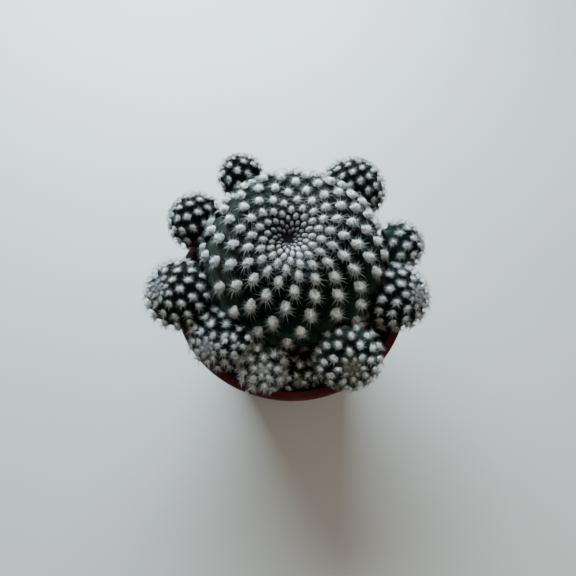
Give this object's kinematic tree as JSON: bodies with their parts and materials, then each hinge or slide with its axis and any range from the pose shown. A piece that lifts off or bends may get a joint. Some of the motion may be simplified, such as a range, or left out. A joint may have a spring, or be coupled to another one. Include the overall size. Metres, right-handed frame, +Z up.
{
  "type": "potted round cactus",
  "caption": "Clustering round cactus in a small round plastic nursery pot: a spiny main stem with a ring of smaller offsets, standing in dark soil.",
  "frame": {"origin": "middle of the pot's underside, on the surface it stands on", "axes": "+Z up along the pot's axis; the picture is taken from the -Y side, with +X to its right"},
  "size_m": [0.0813, 0.0772, 0.0816],
  "materials": {
    "pot_plastic": "thin dark red-brown moulded plastic, matte with a faint sheen",
    "potting_soil": "dark crumbly peat with small grit",
    "cactus_skin": "dark grey-green living skin, dull",
    "areole_wool": "short off-white wool in oval tufts",
    "spines": "thin translucent white to straw-coloured spines"
  },
  "bodies": {
    "root": {"pot": "pot_plastic", "soil": "potting_soil", "main_stem": "cactus_skin", "offset_back_left": "cactus_skin", "offset_upper_left": "cactus_skin", "offset_left": "cactus_skin", "offset_lower_left": "cactus_skin", "offset_tiny_left": "cactus_skin", "offset_front_left": "cactus_skin", "offset_front": "cactus_skin", "offset_front_right": "cactus_skin", "offset_right": "cactus_skin", "offset_upper_right": "cactus_skin", "offset_back_right": "cactus_skin"}
  },
  "joints": []
}
